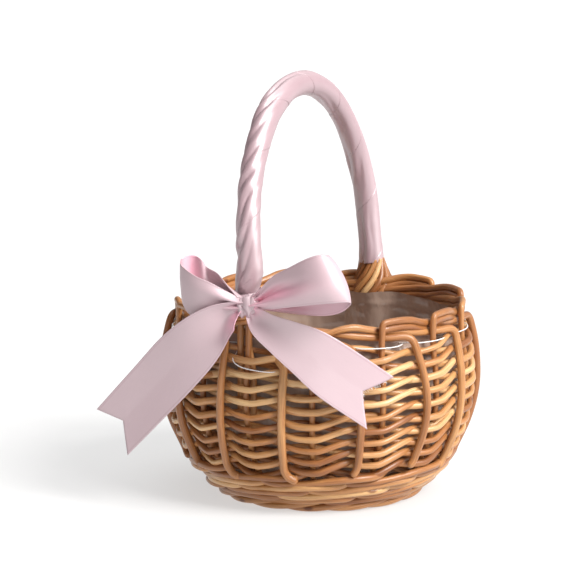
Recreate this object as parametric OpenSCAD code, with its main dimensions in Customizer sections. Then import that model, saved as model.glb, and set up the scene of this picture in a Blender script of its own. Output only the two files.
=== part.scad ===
// Small round willow basket with a fixed hoop handle wrapped in satin ribbon.
// +Z is up, the foot stands on z = 0, the axis of the bowl is the Z axis.
// The handle's two feet lie on the Y axis. The one with the bow is at -Y.
// Angles round the bowl start at the bow and grow towards +X.

/* [Bowl] */
// Height of the widest place of the wall
belly_z = 74; // [68:1:80]
// Radius of the woven wall's middle line at the belly
belly_r = 93.5; // [88:0.5:99]
// Radius of the wall's curve below the belly, seen from the side
low_rad = 86; // [82:1:92]
// Radius of the wall's curve above the belly, seen from the side
up_rad = 117; // [105:1:140]

/* [Willow rods] */
// Diameter of a weaver, the thin rods of the wall
weaver_d = 3.9; // [3:0.1:4]
// Number of weaver rows in the wall
weaver_rows = 20; // [16:1:20]
// Height of the middle of the lowest weaver row
weave_bottom_z = 28; // [27:0.5:34]
// Height of the middle of the highest weaver row
weave_top_z = 102.4; // [98:0.2:102.4]
// Diameter of a stake rod: upright, border and outer rib are one rod
stake_d = 4.8; // [4:0.1:4.8]
// Number of stake rods
stake_count = 14; // [14:2:14]
// How far the stakes are drawn together round the bow's side, in degrees
stake_gather = 3; // [0:0.5:4]
// Diameter of a rod of the thick waling at the bottom
wale_d = 6.4; // [5:0.1:6.4]
// Number of waling rows
wale_rows = 4; // [3:1:4]
// Diameter of the foot ring's rod
foot_d = 7; // [6:0.1:7]

/* [Border] */
// Height of the middle of the rods along the very top
border_z = 118.4; // [117:0.2:122]
// Drop from one layer of border rods to the next
border_drop = 4.85; // [4.85:0.05:4.9]

/* [Handle] */
// Half the distance between the handle's two feet
hoop_half = 84.5; // [84:0.1:85]
// Height at which the legs start to curve inwards
hoop_straight_z = 155.5; // [150:0.5:165]
// Height of the middle of the handle at its top
hoop_top_z = 249.5; // [235:0.5:265]
// Lean of the whole hoop towards -X, in degrees
hoop_lean = 5.3; // [0:0.1:6]
// Diameter of the handle rod
core_d = 12; // [10:0.5:12]
// Diameter over the satin wrapping
wrap_d = 15.8; // [14:0.1:16]

/* [Ribbon] */
// Width of the satin ribbon of the bow
ribbon_w = 34; // [28:1:38]
// Thickness that the bow's ribbon is drawn with
ribbon_t = 1; // [0.6:0.1:1.2]
// Height of the middle of the knot
knot_z = 131; // [129:0.5:133]

/* [Liner] */
// Thickness of the clear plastic film
film_t = 0.5; // [0.4:0.1:0.6]
// Radius of the film's upright upper part
film_r = 79.2; // [76:0.1:79.4]
// Height of the film's top edge
film_top_z = 106.2; // [104:0.1:106.2]
// Diameter of the sewing thread
thread_d = 0.9; // [0.7:0.1:0.9]
// Height of the sewing thread
thread_z = 104.9; // [104.8:0.1:105]

/* [Hidden] */
$fn = 48;

// Colours
willow = [0.80, 0.58, 0.37];
willow_dark = [0.70, 0.47, 0.28];
satin = [0.93, 0.79, 0.84];
film = [0.80, 0.78, 0.76];
thread_white = [0.94, 0.93, 0.91];

function deg(radians) = radians * 180 / PI;
function two_digits(n) = n < 10 ? str("0", n) : str(n);
function numbered(stem, count) = [for (i = [1:count]) str(stem, two_digits(i))];

WEAVERS = numbered("weaver_", weaver_rows);
STAKES = numbered("stake_rod_", stake_count);
WALES = numbered("wale_", wale_rows);

// The wall's middle line is two arcs that meet upright at the belly.
low_cx = belly_r - low_rad;
up_cx = belly_r - up_rad;
low_bottom = asin((belly_z - weave_bottom_z) / low_rad);
up_top = asin((weave_top_z - belly_z) / up_rad);
low_len = low_rad * low_bottom * PI / 180;
up_len = up_rad * up_top * PI / 180;
row_pitch = (low_len + up_len) / (weaver_rows - 1);

// Offsets from the middle line, outwards positive
stake_off = -(weaver_d + stake_d) / 2;
rib_off = (weaver_d + stake_d) / 2;
wale_off = 2.2;

// The waling rows follow each other down the lower arc.
wale_rad = low_rad + wale_off;
wale_step = deg(wale_d / wale_rad);
wale_first = low_bottom + deg((weaver_d + wale_d) / 2 / wale_rad);

// The foot ring is cut flat where it stands.
foot_r = 60.9;
foot_sink = 0.2;

// The base disc
stick_d = 4.4;
split_d = 6.4;
split_slot = 16;
stick_gap = 4.7;
stick_half = 44;
base_z = 9.9;
base_weave_z = 5.2;
base_weave_d = 2.9;
base_weave_from = 14;
base_weave_to = 54;
base_weave_pitch = 4;

// A stake's butt lies on the base, and its top stands upright above bend_z.
butt_r = 46;
butt_z = 10.7;
bend_z = 100;
stake_low = low_rad + stake_off;
stake_up = up_rad + stake_off;
butt_angle = asin((belly_z - butt_z) / stake_low);
corner_r = low_cx + stake_low * cos(butt_angle);
stake_up_angle = asin((bend_z - belly_z) / stake_up);
stake_top_r = up_cx + stake_up * cos(stake_up_angle);
joint_d = stake_d * 1.02;

// The border rod of each stake passes behind the next two stakes and comes out as a rib.
pitch = 360 / stake_count;
border_clear = 0.1;
border_in_r = stake_top_r - stake_d - border_clear;
leg_d = 8.4;
border_leg_r = hoop_half - leg_d / 2 - stake_d / 2 - border_clear;
rib_top_z = border_z - 2 * border_drop;
rib_up = up_rad + rib_off;
rib_low = low_rad + rib_off;
rib_up_angle = asin((rib_top_z - belly_z) / rib_up);
rib_low_angle = wale_first - deg((wale_d + stake_d) / 2 / rib_low);
handle_shift = 6.5;

// The hoop's top is a half oval of two side arcs and a crown arc, 45 degrees each side.
lean_z = 100;
lean_x = -0.7;
arch_h = hoop_top_z - hoop_straight_z;
half_cos = cos(45);
side_rad = (arch_h - hoop_half * (1 - half_cos) / half_cos)
    / (half_cos - (1 - half_cos) * (1 - half_cos) / half_cos);
crown_rad = (hoop_half - (1 - half_cos) * side_rad) / half_cos;
crown_z = hoop_straight_z + (side_rad - crown_rad) * half_cos;
leg_bottom_z = 62;
leg_cone_z = 118;
wrap_from_z = 126.4;
wrap_end = 1.6;
wrap_gap = 0.05;

// Collars of thin willow round the handle's feet
collar_d = 3.6;
collar_zs = [122.2, 125.9];

// The bow
band_t = 1;
band_h = 12;
knot_size = [12.5, 11.2, 13.5];
knot_ball_d = 17;
knot_y = -(hoop_half + wrap_d / 2 + band_t + knot_size[1] / 2 + 0.1);
knot_x = -1.5;
pinch = 11;
loop_tip_r = 10;
flare = 26;
right_loop_len = 62;
right_loop_rise = 16;
left_loop_len = 40;
left_loop_rise = 12;
tail_y = -106;
tail_r = 108;
notch = 15;

// The liner and its sewing
film_low = low_rad + stake_off - stake_d / 2 - 0.3;
film_bottom_z = 13.3;
stitch_half = 8;
stitch_cross = 1.5;
stitch_out_r = 90.2;
stitch_in_r = film_r - film_t - thread_d / 2 - 0.05;
stitch_hole_d = thread_d + 0.2;

// A point of the wall's middle line, a distance s above the belly along the wall
function wall_point(s) = s < 0
    ? [low_cx + low_rad * cos(deg(s / low_rad)), belly_z + low_rad * sin(deg(s / low_rad))]
    : [up_cx + up_rad * cos(deg(s / up_rad)), belly_z + up_rad * sin(deg(s / up_rad))];

// Angle of a place between the stakes: whole numbers are stakes, halves are ribs
function place_angle(n) = n * pitch - stake_gather * sin(n * pitch);
function at_handle(n) = n % (stake_count / 2) == 0;
function stake_angle(n) = place_angle(n) + (at_handle(n) ? handle_shift : 0);
function round_point(r, angle, z) = [r * sin(angle), -r * cos(angle), z];

// The thread's route round the bowl, seen from above, and its outer (1) or inner (-1) edge
function flat_point(r, angle) = [r * sin(angle), -r * cos(angle)];
function stitch_points() = [for (n = [0:stake_count - 1], i = [0:3])
    i == 0 ? flat_point(stitch_out_r, place_angle(n) - stitch_half)
    : i == 1 ? flat_point(stitch_out_r, place_angle(n) + stitch_half)
    : i == 2 ? flat_point(stitch_in_r, place_angle(n) + stitch_half + stitch_cross)
    : flat_point(stitch_in_r, place_angle(n + 1) - stitch_half - stitch_cross)];
function right_of(v) = [v[1], -v[0]] / norm(v);
function mitre(a, b, c) = let (n1 = right_of(b - a), n2 = right_of(c - b)) (n1 + n2) / (1 + n1 * n2);
function stitch_edge(side) = let (route = stitch_points(), count = len(route))
    [for (i = [0:count - 1]) route[i] + side * thread_d / 2
        * mitre(route[(i + count - 1) % count], route[i], route[(i + 1) % count])];

// A round rod that lies in a level ring
module rod_ring(r, z, d) {
    translate([0, 0, z]) rotate_extrude($fn = 96) translate([r, 0]) circle(d = d);
}

// Turns something drawn up from the origin so that it starts at one point and aims at another.
module aimed(from, to) {
    run = to - from;
    translate(from)
        rotate([0, atan2(norm([run[0], run[1]]), run[2]), atan2(run[1], run[0])])
            children();
}

// A straight round rod between two points
module rod(from, to, d) {
    aimed(from, to) cylinder(d = d, h = norm(to - from));
}

// The knuckle at the end of a rod where the next one turns off. Its poles lie along the rod.
module knuckle(from, to, d) {
    aimed(from, to) translate([0, 0, norm(to - from)]) sphere(d = d);
}

module ball(at, d) {
    translate(at) sphere(d = d);
}

// Turns something drawn along +X so that it points to an angle round the bowl.
module toward(angle) {
    rotate([0, 0, angle - 90]) children();
}

// A rod that follows an arc of the wall, seen from the side, between two angles
module wall_arc(cx, rad, from, to, d) {
    translate([cx, 0, belly_z])
        rotate([90, 0, 0])
            rotate_extrude(angle = to - from, start = from, $fn = 96)
                translate([rad, 0]) circle(d = d);
}

module foot_ring() {
    color(willow_dark) difference() {
        rod_ring(foot_r, foot_d / 2 - foot_sink, foot_d);
        translate([0, 0, -foot_d]) cylinder(r = foot_r + foot_d, h = foot_d);
    }
}

module base_sticks_split() {
    color(willow_dark) for (y = [-1, 0, 1]) difference() {
        rod([-stick_half, y * (split_d + 0.1), base_z], [stick_half, y * (split_d + 0.1), base_z], split_d);
        translate([-split_slot / 2, -stick_half, base_z - stick_d / 2 - 0.05])
            cube([split_slot, 2 * stick_half, stick_d + 0.1]);
    }
}

module base_sticks_through() {
    color(willow_dark) for (x = [-1, 0, 1])
        rod([x * stick_gap, -stick_half, base_z], [x * stick_gap, stick_half, base_z], stick_d);
}

module base_weave() {
    color(willow) for (r = [base_weave_from:base_weave_pitch:base_weave_to])
        rod_ring(r, base_weave_z, base_weave_d);
}

module wale(row) {
    angle = wale_first + row * wale_step;
    color(willow_dark)
        rod_ring(low_cx + wale_rad * cos(angle), belly_z - wale_rad * sin(angle), wale_d);
}

module weaver(row) {
    at = wall_point(row * row_pitch - low_len);
    color(willow) rod_ring(at[0], at[1], weaver_d);
}

// The upright part of a stake rod, with its butt on the base
module upright() {
    rod([butt_r, 0, butt_z], [corner_r, 0, butt_z], stake_d);
    ball([corner_r, 0, butt_z], joint_d);
    wall_arc(low_cx, stake_low, -butt_angle, 0, stake_d);
    wall_arc(up_cx, stake_up, 0, stake_up_angle, stake_d);
    rod([stake_top_r, 0, bend_z], [stake_top_r, 0, border_z], stake_d);
}

// The outer rib, the last part of a stake rod
module rib() {
    wall_arc(up_cx, rib_up, 0, rib_up_angle, stake_d);
    wall_arc(low_cx, rib_low, -rib_low_angle, 0, stake_d);
}

// Radius of the border rods where they pass behind stake n
function behind_r(n) = at_handle(n) ? border_leg_r : border_in_r;

module stake_rod(n) {
    top = round_point(stake_top_r, stake_angle(n), border_z);
    first = round_point(behind_r(n + 1), place_angle(n + 1), border_z - border_drop);
    second = round_point(behind_r(n + 2), place_angle(n + 2), rib_top_z);
    out = round_point(up_cx + rib_up * cos(rib_up_angle), place_angle(n + 2.5), rib_top_z);
    color(willow) union() {
        toward(stake_angle(n)) upright();
        rod(top, first, stake_d);
        rod(first, second, stake_d);
        rod(second, out, stake_d);
        ball(top, joint_d);
        knuckle(top, first, joint_d);
        knuckle(first, second, joint_d);
        ball(out, joint_d);
        toward(place_angle(n + 2.5)) rib();
    }
}

// Everything on the handle leans with it.
module on_hoop() {
    translate([lean_x, 0, lean_z])
        rotate([0, -hoop_lean, 0])
            translate([0, 0, -lean_z])
                children();
}

// A round rod bent along the hoop, from a height on both legs over the top
module hoop_rod(from_z, d) {
    for (side = [0, 1]) mirror([0, side, 0]) {
        translate([0, hoop_half, from_z]) cylinder(d = d, h = hoop_straight_z - from_z);
        ball([0, hoop_half, hoop_straight_z], d * 1.01);
        translate([0, hoop_half - side_rad, hoop_straight_z])
            rotate([90, 0, 90])
                rotate_extrude(angle = 45, $fn = 96) translate([side_rad, 0]) circle(d = d);
        translate([0, crown_rad * half_cos, crown_z + crown_rad * half_cos])
            rotate([45, 0, 0])
                sphere(d = d * 1.01);
    }
    translate([0, 0, crown_z])
        rotate([90, 0, 90])
            rotate_extrude(angle = 90, start = 45, $fn = 96) translate([crown_rad, 0]) circle(d = d);
}

module handle_core() {
    color(willow_dark) on_hoop() {
        hoop_rod(wrap_from_z, core_d);
        for (side = [-1, 1]) translate([0, side * hoop_half, 0]) {
            translate([0, 0, leg_bottom_z]) cylinder(d = leg_d, h = leg_cone_z - leg_bottom_z);
            translate([0, 0, leg_cone_z])
                cylinder(d1 = leg_d, d2 = core_d, h = wrap_from_z - leg_cone_z);
        }
    }
}

module handle_wrap() {
    color(satin) on_hoop() difference() {
        hoop_rod(wrap_from_z + wrap_end, wrap_d);
        hoop_rod(wrap_from_z, core_d + 2 * wrap_gap);
    }
}

module handle_collar(side) {
    color(willow) on_hoop() translate([0, side * hoop_half, 0])
        for (z = collar_zs) rod_ring(core_d / 2 + collar_d / 2 - 0.3, z, collar_d);
}

module bow_band() {
    color(satin) on_hoop() translate([0, -hoop_half, knot_z - band_h / 2]) difference() {
        cylinder(d = wrap_d + 2 * band_t, h = band_h);
        translate([0, 0, -1]) cylinder(d = wrap_d + 2 * wrap_gap, h = band_h + 2);
    }
}

module bow_knot() {
    color(satin) translate([knot_x, knot_y, knot_z]) intersection() {
        cube(knot_size, center = true);
        sphere(d = knot_ball_d);
    }
}

// A drop-shaped outline: a point at the knot and a round end
module drop(len, r) {
    lead = asin(r / len);
    polygon(concat(
        [[0, 0]],
        [for (a = [-90 - lead:(180 + 2 * lead) / 20:90 + lead + 0.01]) [len + r * cos(a), r * sin(a)]]
    ));
}

// One loop of the bow, drawn towards +X from the knot: a band bent round, pinched at the knot
module bow_loop(len) {
    reach = len + loop_tip_r;
    start = knot_size[0] / 2;
    intersection() {
        translate([0, 0, -ribbon_w / 2]) linear_extrude(height = ribbon_w) difference() {
            drop(len, loop_tip_r);
            translate([3, 0]) drop(len - 3, loop_tip_r - ribbon_t);
        }
        rotate([90, 0, 0]) linear_extrude(height = 2 * ribbon_w, center = true) polygon([
            [start, -pinch / 2],
            [flare, -ribbon_w / 2],
            [reach, -ribbon_w / 2],
            [reach, ribbon_w / 2],
            [flare, ribbon_w / 2],
            [start, pinch / 2]
        ]);
    }
}

module bow_loop_right() {
    color(satin) translate([knot_x, knot_y, knot_z])
        rotate([0, -right_loop_rise, 0]) bow_loop(right_loop_len - loop_tip_r);
}

module bow_loop_left() {
    color(satin) translate([knot_x, knot_y, knot_z])
        rotate([0, left_loop_rise, 0]) mirror([1, 0, 0]) bow_loop(left_loop_len - loop_tip_r);
}

// A tail's outline from the knot: pinched, then full width, with a swallow-tail end
module tail_outline(len, start) {
    polygon([
        [start, -pinch / 2],
        [flare, -ribbon_w / 2],
        [len, -ribbon_w / 2],
        [len - notch, 0],
        [len, ribbon_w / 2],
        [flare, ribbon_w / 2],
        [start, pinch / 2]
    ]);
}

module bow_tail_left() {
    color(satin) translate([knot_x, tail_y, knot_z])
        rotate([90, 0, 0])
            linear_extrude(height = ribbon_t, center = true)
                rotate([0, 0, -136]) tail_outline(124, 11);
}

// The right tail lies round the bowl, a little outside its ribs.
module bow_tail_right() {
    color(satin) intersection() {
        translate([0, 0, 50]) difference() {
            cylinder(r = tail_r + ribbon_t / 2, h = 100, $fn = 192);
            translate([0, 0, -1]) cylinder(r = tail_r - ribbon_t / 2, h = 102, $fn = 192);
        }
        translate([knot_x, 0, knot_z])
            rotate([90, 0, 0])
                linear_extrude(height = tail_r + 10)
                    rotate([0, 0, -36]) tail_outline(100, 11);
    }
}

// Half the film's section, made smaller by an inset for its inner face
module film_section(inset) {
    intersection() {
        union() {
            translate([low_cx, belly_z]) circle(r = film_low - inset, $fn = 192);
            translate([0, belly_z]) square([film_r - inset, film_top_z]);
        }
        translate([0, film_bottom_z + inset])
            square([film_r - inset, film_top_z - film_bottom_z + (inset > 0 ? 1 : -inset)]);
    }
}

module liner_film() {
    color(film, 0.5) difference() {
        rotate_extrude($fn = 96) intersection() {
            difference() {
                film_section(0);
                film_section(film_t);
            }
            square([film_r + 1, film_top_z]);
        }
        for (n = [0:stake_count - 1])
            for (side = [-1, 1])
                toward(place_angle(n) + side * (stitch_half + stitch_cross))
                    translate([film_r - 3, 0, thread_z])
                        rotate([0, 90, 0]) cylinder(d = stitch_hole_d, h = 6, $fn = 24);
    }
}

// The thread runs outside each stake and inside the film past each rib.
module stitch_thread() {
    color(thread_white) translate([0, 0, thread_z - thread_d / 2])
        linear_extrude(height = thread_d) difference() {
            polygon(stitch_edge(1));
            polygon(stitch_edge(-1));
        }
}

foot_ring();
base_sticks_split();
base_sticks_through();
base_weave();
for (i = [0:wale_rows - 1]) wale(i);
for (i = [0:weaver_rows - 1]) weaver(i);
for (i = [0:stake_count - 1]) stake_rod(i);
handle_core();
handle_wrap();
handle_collar(-1);  // handle_collar_near
handle_collar(1);  // handle_collar_far
bow_band();
bow_knot();
bow_loop_left();
bow_loop_right();
bow_tail_left();
bow_tail_right();
liner_film();
stitch_thread();
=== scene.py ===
"""Looks of a willow basket with a satin-wrapped hoop handle and a satin bow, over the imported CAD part."""
import math
import random

import bpy
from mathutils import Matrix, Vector, noise


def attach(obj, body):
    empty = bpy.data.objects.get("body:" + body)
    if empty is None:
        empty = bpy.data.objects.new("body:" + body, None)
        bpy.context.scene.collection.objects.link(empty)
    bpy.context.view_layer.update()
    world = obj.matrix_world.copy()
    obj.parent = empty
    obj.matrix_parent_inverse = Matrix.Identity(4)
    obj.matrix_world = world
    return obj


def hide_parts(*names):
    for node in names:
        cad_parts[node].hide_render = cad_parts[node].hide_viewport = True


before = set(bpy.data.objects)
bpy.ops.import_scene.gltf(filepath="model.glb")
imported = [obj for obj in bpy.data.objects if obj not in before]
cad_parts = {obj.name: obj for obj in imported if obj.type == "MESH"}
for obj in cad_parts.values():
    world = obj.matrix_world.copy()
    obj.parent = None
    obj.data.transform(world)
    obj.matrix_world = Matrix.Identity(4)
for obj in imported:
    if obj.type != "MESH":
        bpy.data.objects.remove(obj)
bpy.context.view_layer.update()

MM = 0.001
BODY = "root"

# The CAD part's own numbers, in millimetres and degrees
BELLY_Z = 74.0
BELLY_R = 93.5
LOW_RAD = 86.0
UP_RAD = 117.0
STAKES = 14
PITCH = 360.0 / STAKES
GATHER = 3.0
ROWS = 20
WEAVE_LOW_Z = 28.0
WEAVE_TOP_Z = 102.4
WEAVER_D = 3.9
WALE_ROWS = 4
WALE_D = 6.4
WALE_OFF = 2.2
FOOT_R = 60.9
STICK_HALF = 44.0
HOOP_HALF = 84.5
HOOP_STRAIGHT_Z = 155.5
HOOP_TOP_Z = 249.5
HOOP_LEAN = math.radians(5.3)
LEAN_X = -0.7
LEAN_Z = 100.0
RIBBON_W = 34.0

# Near the CAD part's numbers, but the real rods and ribbon lie a little differently from its plain solids
BORDER_Z = 118.6
BORDER_DROP = 4.9
WRAP_LOW_Z = 127.0
WRAP_R = 7.0
NEAR_FOOT_X = -9.0
STAKE_TOP_R = 88.4
BEHIND_R = 83.6
BEHIND_LEG_R = 77.4
FILM_TOP = 111.0
KNOT = Vector((1.6, -101.6, 131.4))

# Where things lie across the wall, measured from its middle line, outwards positive
WEAVE_MEAN = -2.2
WEAVE_SWING = 4.0
RIB_OFF = WEAVE_MEAN + WEAVER_D / 2 + 2.55
FILM_OFF = WEAVE_MEAN - WEAVE_SWING - WEAVER_D / 2 - 0.9

# Radii of the rods
WALE_STRAND_R = 2.2
BORDER_ROD_R = 2.2
FOOT_STRAND_R = 2.15
SPLIT_STICK_R = 3.255
THROUGH_STICK_R = 2.15
BASE_WEAVER_R = 1.5
HANDLE_ROD_R = 5.2
FOOT_ROD_R = 2.1
COIL_R = 1.35
THREAD_R = 0.33

# Thickness that the satin is drawn with, on the handle and in the bow
WRAP_THICK = 0.2
BOW_THICK = 0.32

# The places of the two handle feet, counted in stakes from the bow
HANDLE_PLACES = (0, 7)


# ---------------------------------------------------------------- small sums

def smooth(t):
    """0 below 0, 1 above 1, and a soft step between."""
    t = min(max(t, 0.0), 1.0)
    return t * t * (3 - 2 * t)


def bell(x, width):
    """1 where x is 0, falling to 0 on both sides."""
    return math.exp(-(x / width) ** 2)


def wobble(seed, x, y=0.0):
    """A smooth random number from -1 to 1."""
    return noise.noise(Vector((x, y, seed * 13.7)))


def ring_noise(a, size, z):
    """A smooth random number from -1 to 1 that closes round a circle. a is in radians."""
    return noise.noise(Vector((size * math.cos(a), size * math.sin(a), z)))


def own_tone(rng, mean, spread):
    """A rod's own colour, from 0 for dark to 1 for pale."""
    return min(1.0, max(0.0, rng.gauss(mean, spread)))


def polar(r, angle, z):
    """A point of the basket. The angle is in degrees, 0 at the bow and growing towards +X."""
    a = math.radians(angle)
    return Vector((r * math.sin(a), -r * math.cos(a), z))


def place_angle(n):
    """Angle of a place between the stakes: whole numbers are stakes, halves are ribs."""
    return n * PITCH - GATHER * math.sin(math.radians(n * PITCH))


def from_handle(n):
    """How many stakes away from the nearer handle foot."""
    return min(abs((n - h + STAKES / 2) % STAKES - STAKES / 2) for h in HANDLE_PLACES)


def stake_place(n):
    """Some stakes stand a little to one side of their place."""
    return n + {0: -0.135, 1: -0.09, 7: 0.2}.get(n % STAKES, 0.0)


def wall(s):
    """Radius, height and outward direction of the wall at a distance s above the belly, along the wall."""
    rad = LOW_RAD if s < 0 else UP_RAD
    turn = s / rad
    centre = BELLY_R - rad
    return (
        centre + rad * math.cos(turn),
        BELLY_Z + rad * math.sin(turn),
        math.cos(turn),
        math.sin(turn),
    )


def wall_s(z):
    """The wall's distance above the belly at a height."""
    rad = LOW_RAD if z < BELLY_Z else UP_RAD
    return rad * math.asin(max(-1.0, min(1.0, (z - BELLY_Z) / rad)))


def on_wall(s, n, out=0.0, up=0.0):
    """A point at a place n round the wall, out from its middle line and up along it."""
    r, z, nr, nz = wall(s)
    return polar(r + out * nr - up * nz, place_angle(n), z + out * nz + up * nr)


S_LOW = wall_s(WEAVE_LOW_Z)
S_TOP = wall_s(WEAVE_TOP_Z)
ROW_STEP = (S_TOP - S_LOW) / (ROWS - 1)


def chaikin(points, rounds=3):
    """Rounds the corners of a route and keeps its ends."""
    for _ in range(rounds):
        cut = [points[0]]
        for a, b in zip(points, points[1:]):
            cut.append(a.lerp(b, 0.25))
            cut.append(a.lerp(b, 0.75))
        cut.append(points[-1])
        points = cut
    return points


def resample(points, step):
    """The same route with points an even step apart."""
    lengths = [0.0]
    for a, b in zip(points, points[1:]):
        lengths.append(lengths[-1] + (b - a).length)
    count = max(2, int(lengths[-1] / step))
    made, k = [], 0
    for i in range(count + 1):
        d = lengths[-1] * i / count
        while k < len(points) - 2 and lengths[k + 1] < d:
            k += 1
        span = max(lengths[k + 1] - lengths[k], 1e-9)
        made.append(points[k].lerp(points[k + 1], (d - lengths[k]) / span))
    return made


def spline(points, t):
    """A point on the smooth line through points, t from 0 to 1."""
    x = t * (len(points) - 1)
    i = min(int(x), len(points) - 2)
    f = x - i
    p1, p2 = points[i], points[i + 1]
    p0 = points[i - 1] if i > 0 else p1 * 2 - p2
    p3 = points[i + 2] if i + 2 < len(points) else p2 * 2 - p1
    return 0.5 * (
        2 * p1
        + (p2 - p0) * f
        + (2 * p0 - 5 * p1 + 4 * p2 - p3) * f * f
        + (3 * p1 - p0 - 3 * p2 + p3) * f * f * f
    )


# ---------------------------------------------------------------- meshes

class Rods:
    """Round willow rods gathered into one piece, with the values that the willow material reads."""

    def __init__(self):
        self.verts, self.faces = [], []
        self.grain, self.tone, self.cut = [], [], []

    def ring(self, centre, side, up, r, d, sides, offset, tone, cut):
        """One ring of points. The grain runs on with d, and each rod has its own part of it."""
        first = len(self.verts)
        for k in range(sides):
            a = 2 * math.pi * k / sides
            ca, sa = math.cos(a), math.sin(a)
            lump = 1 + 0.06 * ring_noise(a, 0.9, d * 0.05 + offset)
            self.verts.append(centre + (side * ca + up * sa) * (r * lump))
            self.grain.append((ca * r, sa * r, d + offset * 40))
            self.tone.append(tone)
            self.cut.append(cut)
        return first

    def add(self, points, radius, sides=12, tone=0.5, seed=0, ends=0.45):
        """A rod along points. radius is a number or radius(distance, whole length), in millimetres."""
        total = sum((b - a).length for a, b in zip(points, points[1:]))
        first_step = (points[1] - points[0]).normalized() * ends
        last_step = (points[-1] - points[-2]).normalized() * ends
        points = [points[0], points[0] + first_step, *points[1:-1], points[-1] - last_step, points[-1]]
        count = len(points)
        side = (points[1] - points[0]).orthogonal().normalized()
        d, rings = 0.0, []
        for i, p in enumerate(points):
            tangent = (points[min(i + 1, count - 1)] - points[max(i - 1, 0)]).normalized()
            side = (side - tangent * side.dot(tangent)).normalized()
            up = tangent.cross(side)
            if i:
                d += (p - points[i - 1]).length
            r = radius(d, total) if callable(radius) else radius
            r *= 0.8 if i in (0, count - 1) else 1.0
            rings.append(self.ring(p, side, up, r, d, sides, seed, tone, 0.0))
            if i in (0, count - 1):
                cap = self.ring(p, side, up, r, d, sides, seed, tone, 1.0)
                order = range(sides) if i else reversed(range(sides))
                self.faces.append([cap + k for k in order])
        for a, b in zip(rings, rings[1:]):
            for k in range(sides):
                j = (k + 1) % sides
                self.faces.append([a + k, a + j, b + j, b + k])

    def make(self, name, material, slot, *nodes):
        mesh = bpy.data.meshes.new(name)
        mesh.from_pydata([v * MM for v in self.verts], [], self.faces)
        grain = [c for g in self.grain for c in g]
        mesh.attributes.new("grain", "FLOAT_VECTOR", "POINT").data.foreach_set("vector", grain)
        mesh.attributes.new("tone", "FLOAT", "POINT").data.foreach_set("value", self.tone)
        mesh.attributes.new("cut", "FLOAT", "POINT").data.foreach_set("value", self.cut)
        for polygon in mesh.polygons:
            polygon.use_smooth = len(polygon.vertices) == 4
        return place(mesh, name, material, slot, *nodes)


def place(mesh, name, material, slot, *nodes):
    """Puts a mesh into the scene as a piece of the object."""
    mesh.validate()
    mesh.materials.append(material)
    piece = bpy.data.objects.new(name, mesh)
    bpy.context.scene.collection.objects.link(piece)
    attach(piece, BODY)
    if nodes:
        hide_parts(*nodes)
    return piece


def grid_piece(name, rows, material, slot, nodes=(), closed=False, thick=0.0, uv=None, drop=None):
    """A sheet from rows of points. uv(i, k) is the place on the flat sheet, in metres across and along."""
    count, across = len(rows), len(rows[0])
    verts = [p * MM for row in rows for p in row]
    faces, places = [], []
    for i in range(count if closed else count - 1):
        j = (i + 1) % count
        for k in range(across - 1):
            if drop and drop(i, k):
                continue
            faces.append([i * across + k, i * across + k + 1, j * across + k + 1, j * across + k])
            places.append([(i, k), (i, k + 1), (i + 1, k + 1), (i + 1, k)])
    mesh = bpy.data.meshes.new(name)
    mesh.from_pydata(verts, [], faces)
    if uv:
        layer = mesh.uv_layers.new(name="flat")
        flat = [c for quad in places for corner in quad for c in uv(*corner)]
        layer.data.foreach_set("uv", flat)
    for polygon in mesh.polygons:
        polygon.use_smooth = True
    piece = place(mesh, name, material, slot, *nodes)
    if thick:
        solid = piece.modifiers.new("thickness", "SOLIDIFY")
        solid.thickness = thick * MM
        solid.offset = 0.0
    return piece


# ---------------------------------------------------------------- materials

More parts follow.
